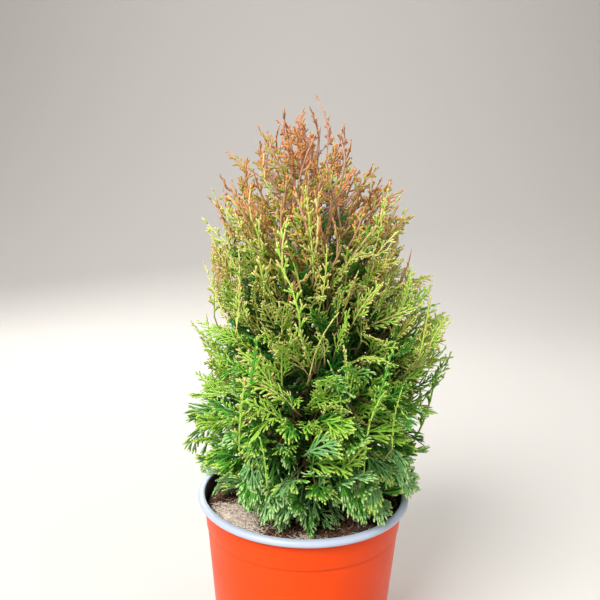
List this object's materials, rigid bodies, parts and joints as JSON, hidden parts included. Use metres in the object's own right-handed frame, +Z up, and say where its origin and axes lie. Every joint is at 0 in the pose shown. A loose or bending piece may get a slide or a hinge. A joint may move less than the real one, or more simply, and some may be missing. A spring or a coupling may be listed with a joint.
{
  "type": "potted thuja",
  "caption": "Young conical thuja with flat scale-leaf sprays, green below and bronze at the top, standing in a tapered plastic pot with a rolled rim.",
  "frame": {"origin": "centre of the pot's flat underside", "axes": "+Z up along the trunk; the side that the picture shows faces -Y, with its right-hand side towards +X"},
  "size_m": [0.2304, 0.2173, 0.4968],
  "materials": {
    "pot": "satin orange-red",
    "rim": "satin lavender-grey",
    "soil": "dry fibrous peat",
    "bark": "thin, slightly scaly bark",
    "foliage_blue_green": "dark bluish green scale leaves",
    "foliage_green": "green scale leaves",
    "foliage_bright": "bright yellow-green scale leaves",
    "foliage_olive": "olive scale leaves",
    "foliage_tan": "tan, winter-burnt scale leaves",
    "foliage_bronze": "bronze, winter-burnt scale leaves"
  },
  "bodies": {
    "root": {"bough_crest_1": "bark", "bough_crest_2": "bark", "bough_crest_3": "bark", "bough_crest_4": "bark", "bough_shoulder_1": "bark", "bough_shoulder_2": "bark", "bough_shoulder_3": "bark", "bough_shoulder_4": "bark", "bough_shoulder_5": "bark", "bough_upper_1": "bark", "bough_upper_2": "bark", "bough_upper_3": "bark", "bough_upper_4": "bark", "bough_upper_5": "bark", "foliage_belly_1": "foliage_bright", "foliage_belly_2": "foliage_bright", "foliage_belly_3": "foliage_bright", "foliage_belly_4": "foliage_bright", "foliage_belly_5": "foliage_bright", "foliage_crest_1": "foliage_bronze", "foliage_crest_2": "foliage_bronze", "foliage_crest_3": "foliage_bronze", "foliage_crest_4": "foliage_bronze", "foliage_leader": "foliage_bronze", "foliage_lower_1": "foliage_green", "foliage_lower_2": "foliage_green", "foliage_lower_3": "foliage_green", "foliage_lower_4": "foliage_green", "foliage_lower_5": "foliage_green", "foliage_shoulder_1": "foliage_olive", "foliage_shoulder_2": "foliage_olive", "foliage_shoulder_3": "foliage_olive", "foliage_shoulder_4": "foliage_olive", "foliage_shoulder_5": "foliage_olive", "foliage_skirt_1": "foliage_blue_green", "foliage_skirt_2": "foliage_blue_green", "foliage_skirt_3": "foliage_blue_green", "foliage_skirt_4": "foliage_blue_green", "foliage_skirt_5": "foliage_blue_green", "foliage_upper_1": "foliage_tan", "foliage_upper_2": "foliage_tan", "foliage_upper_3": "foliage_tan", "foliage_upper_4": "foliage_tan", "foliage_upper_5": "foliage_tan", "pot_rim": "rim", "pot_wall": "pot", "soil": "soil", "trunk": "bark"}
  },
  "joints": []
}
